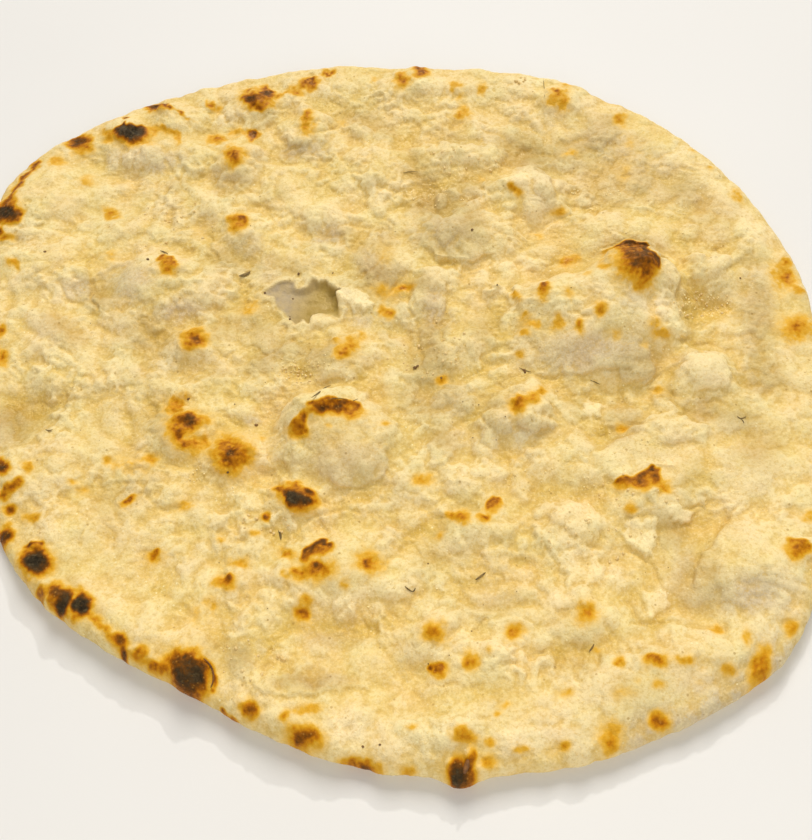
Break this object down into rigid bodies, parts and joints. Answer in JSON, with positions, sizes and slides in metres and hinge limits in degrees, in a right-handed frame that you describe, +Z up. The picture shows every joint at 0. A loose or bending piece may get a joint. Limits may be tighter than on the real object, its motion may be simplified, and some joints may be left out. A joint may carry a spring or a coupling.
{
  "type": "naan",
  "caption": "Round blistered flatbread with a rounded rim, scorched spots, one large puffed blister and one burst one, lying flat.",
  "frame": {"origin": "middle of the outline's box, on the flat underside", "axes": "+Z up out of the blistered side; +X to the right and +Y away from the viewer as in the picture"},
  "size_m": [0.2696, 0.2624, 0.0191],
  "materials": {
    "crust": "baked dough, cream with brown scorches"
  },
  "bodies": {
    "root": {"naan": "crust"}
  },
  "joints": []
}
